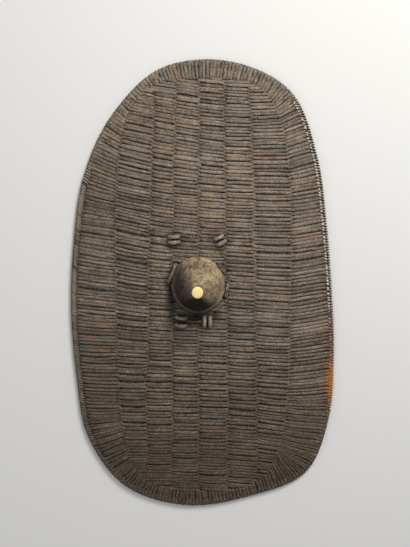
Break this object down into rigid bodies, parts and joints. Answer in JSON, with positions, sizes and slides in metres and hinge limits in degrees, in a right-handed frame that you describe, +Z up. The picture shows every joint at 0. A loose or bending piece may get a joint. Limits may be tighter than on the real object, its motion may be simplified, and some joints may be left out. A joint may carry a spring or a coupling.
{
  "type": "wicker shield",
  "caption": "Long oval wicker shield with a wound cane rim, a carved wooden boss on its domed front and a wooden grip tied on behind.",
  "frame": {"origin": "under the middle of the outline, at the height of the surface that the rim lies on", "axes": "+Y towards the shield's upper end, +Z up out of the boss, +X to the right seen from the front"},
  "size_m": [0.588, 0.9999, 0.1768],
  "materials": {
    "dark_cane": "old split cane, dark with age and dust, dull",
    "rim_cane": "old cane strip, dark brown, worn orange along one side",
    "carved_wood": "hand-carved wood, greyed and rubbed",
    "pale_tip": "pale, rubbed smooth by hand",
    "tie_cane": "twisted cane cord, dusty",
    "grip_wood": "hand-carved wood, darkened by handling"
  },
  "bodies": {
    "root": {"woven_body": "dark_cane", "rim_binding": "rim_cane", "boss": "carved_wood", "boss_tip": "pale_tip", "upper_left_tie": "tie_cane", "upper_right_tie": "tie_cane", "lower_left_tie": "tie_cane", "lower_right_tie": "tie_cane", "left_boss_lashing": "tie_cane", "right_boss_lashing": "tie_cane", "upper_right_boss_lashing": "tie_cane", "lower_right_boss_lashing": "tie_cane", "hand_grip": "grip_wood"}
  },
  "joints": []
}
